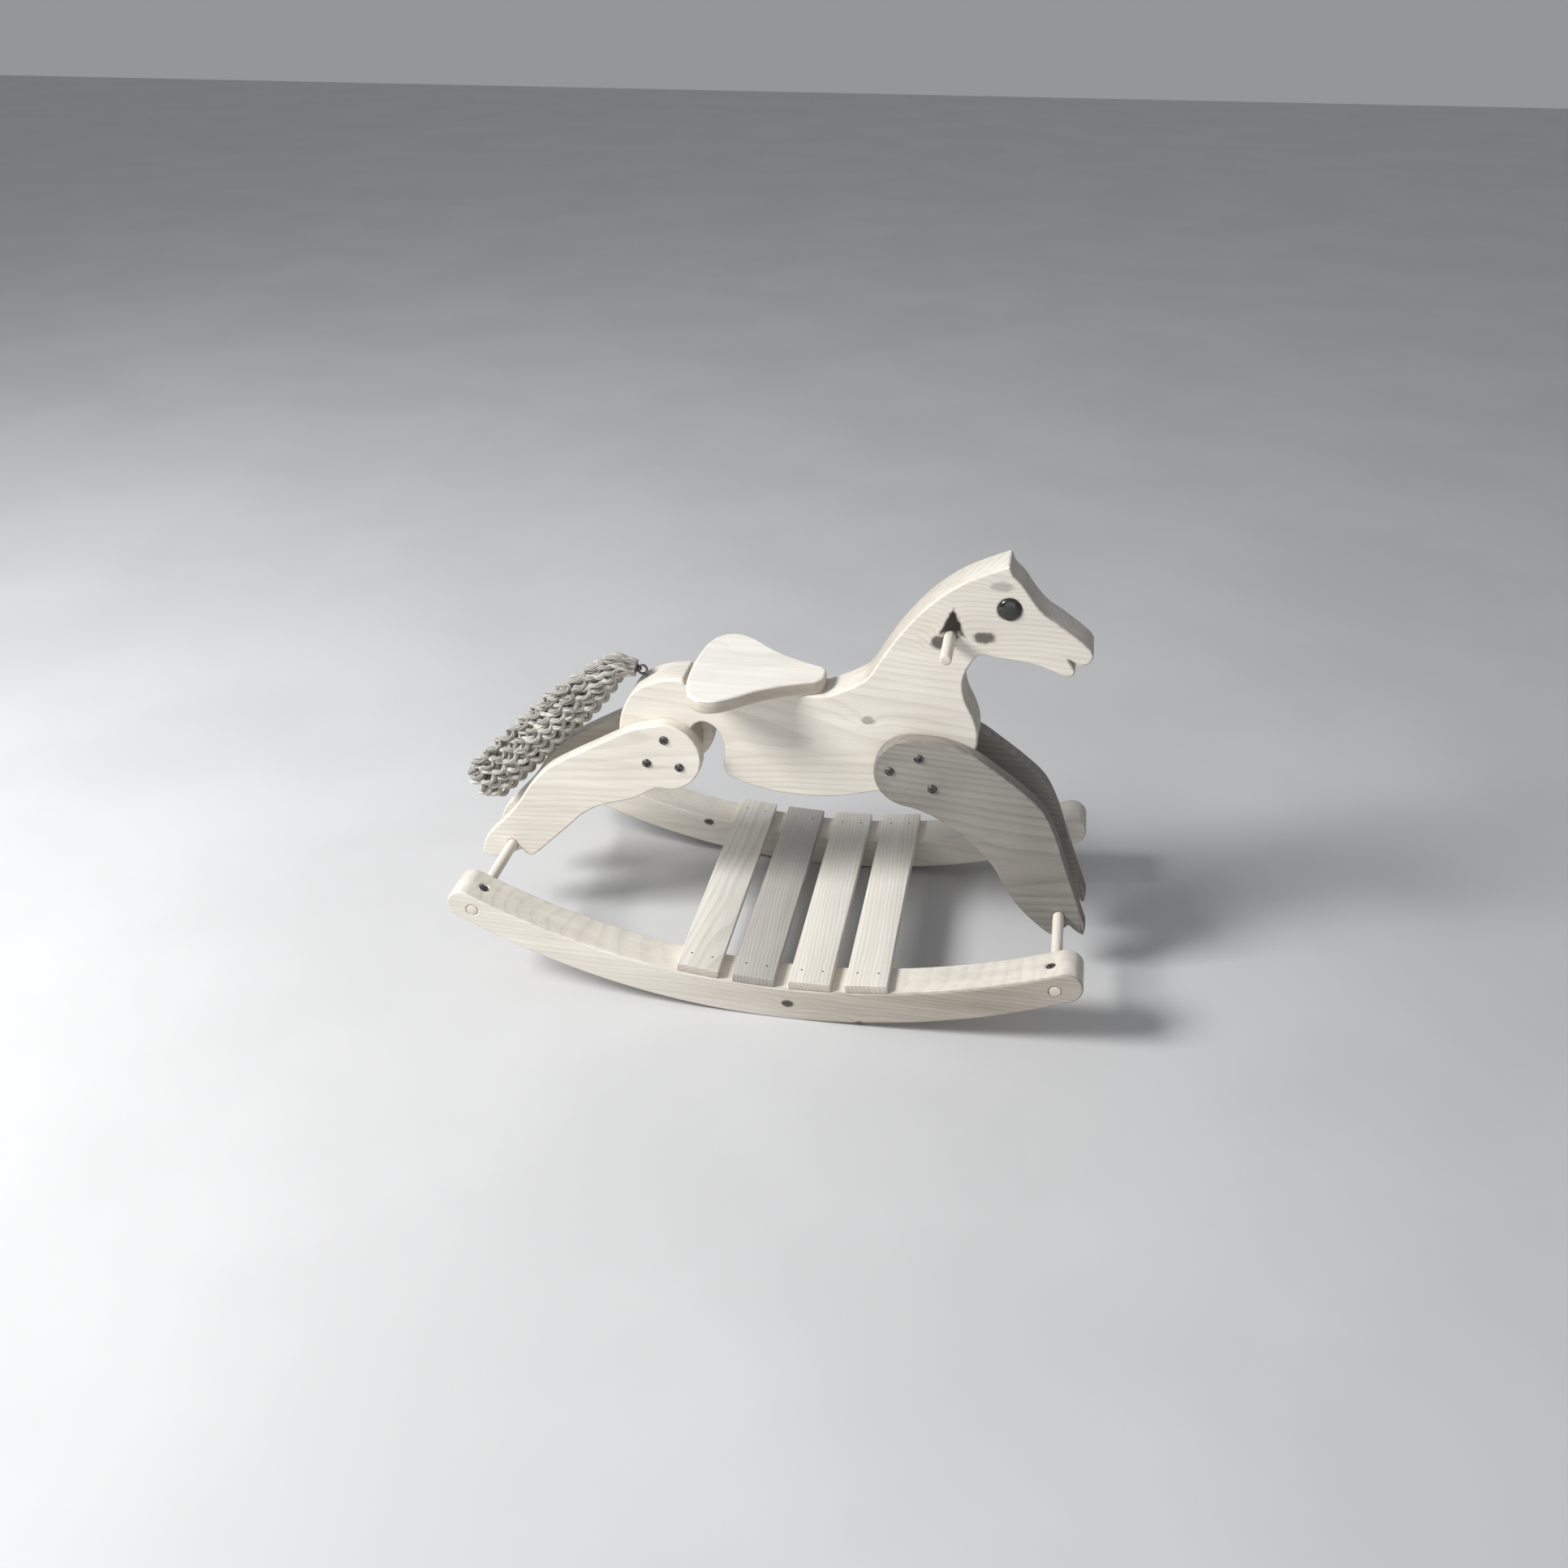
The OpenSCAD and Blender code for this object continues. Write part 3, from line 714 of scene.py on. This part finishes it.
opened = (t * 7.0).sum("MINIMUM", 1.0)
curl = given["Curl radius"] * opened
sway = (s * 34 + kept("phase") * 3).sum("SINE") * 0.0012 * opened
up = spread * kept("fan").sum("COSINE") + curl * wind.sum("COSINE") + sway
across = spread * kept("fan").sum("SINE") + curl * wind.sum("SINE")
lines = yb.make("GeometryNodeSetPosition", {}, {
    "Geometry": lines, "Position": yb.point(at_x + way_z * up, across, at_z - way_x * up)})
lines = yb.make("GeometryNodeSetCurveRadius", {}, {"Curve": lines, "Radius": 0.55 + 0.45 * opened})
lines = keep(lines, "yarn_along", s)
round_yarn = yb.make("GeometryNodeCurvePrimitiveCircle", {}, {"Resolution": 8, "Radius": given["Yarn radius"]})
round_yarn = keep(round_yarn, "yarn_around", yb.make("GeometryNodeSplineParameter", out="Factor"))
tubes = yb.make("GeometryNodeCurveToMesh", {}, {
    "Curve": lines, "Profile Curve": round_yarn,
    "Scale": yb.make("GeometryNodeInputRadius"), "Fill Caps": True})
tubes = yb.make("GeometryNodeRealizeInstances", {}, {"Geometry": tubes})
tubes = yb.make("GeometryNodeSetMaterial", {}, {"Geometry": tubes, "Material": given["Finish"]})
yb.make("NodeGroupOutput", {}, {0: tubes}, out=None)
print("yarn tree inputs:", list(given))

# %% Grow the tail
guide_mesh = bpy.data.meshes.new("tail_guide")
guide_mesh.from_pydata(middle_line, [(i, i + 1) for i in range(len(middle_line) - 1)], [])
tail = grown("tail_yarns", yarn_tree, guide_mesh, {**BUNCH, "Seed": 11, "Finish": rope}, smooth=60)
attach(tail, "tail_bunch")
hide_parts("tail")
print("tail faces:", len(tail.data.polygons))

# %% [markdown]
# ## Pieces that stay as the CAD made them
# The ring, the screw eye, the ferrule and the hidden dowels have the right shape, so they only get a finish.

# %% Finish the small CAD nodes
small = {"tail_eye": steel, "tail_loop": steel, "tail_ferrule": beech_bar, "saddle_dowels": beech_bar,
         "handle_pin": beech_bar}
for node, finish in small.items():
    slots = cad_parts[node].data.materials
    slots.clear()
    slots.append(finish)
print("finished as they are:", list(small))

# %% [markdown]
# ## Floor, light and camera
# A pale floor, a soft key light from the tail's side and above, a weak fill from the camera's side, and an
# even sky. The camera looks down on the horse's right side from a little in front of its middle.

# %% Floor
floor_mesh = bpy.data.meshes.new("floor")
floor_mesh.from_pydata([(-8, -8, 0), (8, -8, 0), (8, 8, 0), (-8, 8, 0)], [], [(0, 1, 2, 3)])
floor = bpy.data.objects.new("floor", floor_mesh)
bpy.context.scene.collection.objects.link(floor)
floor_mesh.materials.append(plain_finish("pale_floor", (0.60, 0.60, 0.60), (0.57, 0.57, 0.57), 3.0,
                                         0.75, 0.85, 0.0001))


# %% Lights
def soft_light(name, place, aim, size, watts):
    lamp = bpy.data.lights.new(name, "AREA")
    lamp.size, lamp.energy = size, watts
    holder = bpy.data.objects.new(name, lamp)
    holder.location = place
    holder.rotation_euler = (Vector(aim) - Vector(place)).to_track_quat("-Z", "Y").to_euler()
    bpy.context.scene.collection.objects.link(holder)


soft_light("key", (-2.05, -1.10, 2.0), (0, 0, 0.2), 0.9, 112)
soft_light("fill", (0.2, -2.8, 0.9), (0, 0, 0.2), 2.2, 12)
world = bpy.data.worlds.new("soft_sky")
world.use_nodes = True
world.node_tree.nodes["Background"].inputs["Color"].default_value = (0.93, 0.95, 1.0, 1)
world.node_tree.nodes["Background"].inputs["Strength"].default_value = 0.32
bpy.context.scene.world = world
bpy.context.scene.view_settings.view_transform = "Standard"

# %% Camera
camera = bpy.data.objects.new("camera", bpy.data.cameras.new("camera"))
camera.data.lens, camera.data.sensor_width = 34.86, 36
camera.location = (0.2692, -1.4155, 1.0401)
camera.rotation_euler = (math.radians(90 - 30.711), 0, math.radians(10.213))
bpy.context.scene.collection.objects.link(camera)
bpy.context.scene.camera = camera
